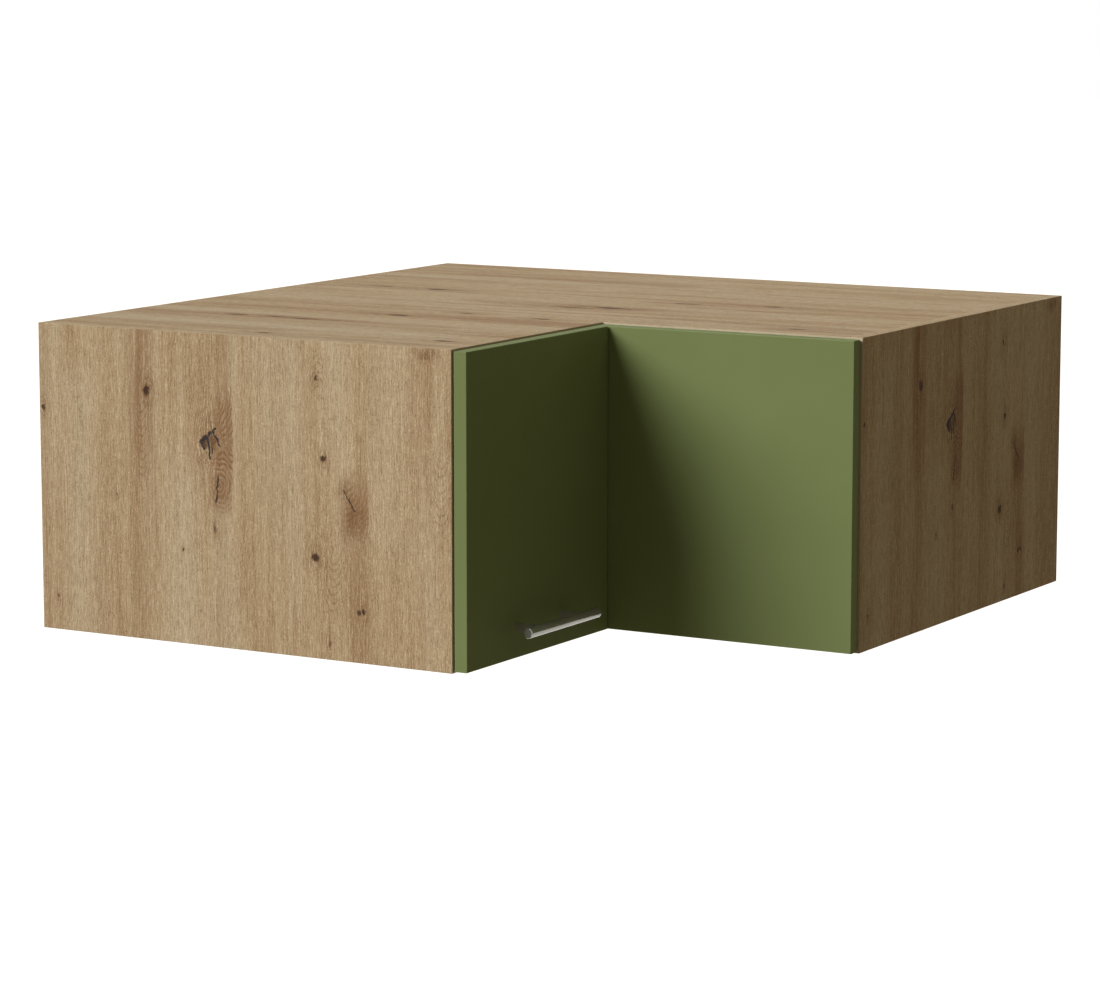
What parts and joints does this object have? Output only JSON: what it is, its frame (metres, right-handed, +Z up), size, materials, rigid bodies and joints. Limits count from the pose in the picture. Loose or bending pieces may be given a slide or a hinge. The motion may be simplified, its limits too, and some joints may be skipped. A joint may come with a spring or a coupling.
{
  "type": "corner wall cabinet",
  "caption": "L-shaped corner wall cabinet: oak-print carcass, folding green slab doors with a steel bar handle; hangs on both walls of a room corner.",
  "frame": {"origin": "the corner of the two walls, level with the cabinet's underside", "axes": "+X along the back wall away from the corner, +Y at the back wall, +Z up"},
  "size_m": [0.9, 0.9, 0.36],
  "materials": {
    "oak_board": "knotty light oak print on chipboard, brushed grain",
    "back_board": "white hardboard",
    "batten": "planed softwood",
    "beech": "beech, fluted",
    "zinc": "die-cast zinc",
    "hanger_plastic": "moulded",
    "hook_steel": "galvanised",
    "screw_steel": "zinc plated",
    "soft_pad": "clear silicone",
    "hinge_steel": "nickel plated",
    "green_front": "matt olive-green faced board",
    "handle_steel": "satin"
  },
  "bodies": {
    "carcass": {"left_side_panel": "oak_board", "right_side_panel": "oak_board", "top_panel": "oak_board", "bottom_panel": "oak_board", "left_back_panel": "back_board", "right_back_panel": "back_board", "corner_post": "batten", "dowels": "beech", "cam_bolts": "zinc", "cam_discs": "zinc", "left_hanger": "hanger_plastic", "corner_hanger": "hanger_plastic", "right_hanger": "hanger_plastic", "left_hanger_hook": "hook_steel", "corner_hanger_hook": "hook_steel", "right_hanger_hook": "hook_steel", "hanger_screws": "screw_steel", "hinge_plate_screws": "screw_steel", "hinge_arm_screws": "screw_steel", "door_bumpers": "soft_pad", "lower_hinge_plate": "hinge_steel", "lower_hinge_arm": "hinge_steel", "upper_hinge_plate": "hinge_steel", "upper_hinge_arm": "hinge_steel"},
    "right_leaf": {"right_door": "green_front", "hinge_pins": "screw_steel", "cup_screws": "screw_steel", "fold_rivets": "screw_steel", "lower_hinge_cup": "hinge_steel", "lower_fold_cup": "hinge_steel", "lower_fold_arm": "hinge_steel", "upper_hinge_cup": "hinge_steel", "upper_fold_cup": "hinge_steel", "upper_fold_arm": "hinge_steel"},
    "left_leaf": {"left_door": "green_front", "fold_pins": "screw_steel", "fold_plate_screws": "screw_steel", "handle_bar": "handle_steel", "near_handle_post": "handle_steel", "far_handle_post": "handle_steel", "handle_screws": "screw_steel", "lower_fold_plate": "hinge_steel", "upper_fold_plate": "hinge_steel"}
  },
  "joints": [
    {"name": "door_swing", "type": "hinge", "parent": "carcass", "child": "right_leaf", "pos_m": [0.891, -0.5755, 0.18], "axis": [0, 0, 1], "range_deg": [0, 95]},
    {"name": "leaf_fold", "type": "hinge", "parent": "right_leaf", "child": "left_leaf", "pos_m": [0.563, -0.563, 0.18], "axis": [0, 0, -1], "range_deg": [0, 95]}
  ],
  "couplings": [
    {"joint": "leaf_fold", "follows": "door_swing", "ratio": 1}
  ]
}
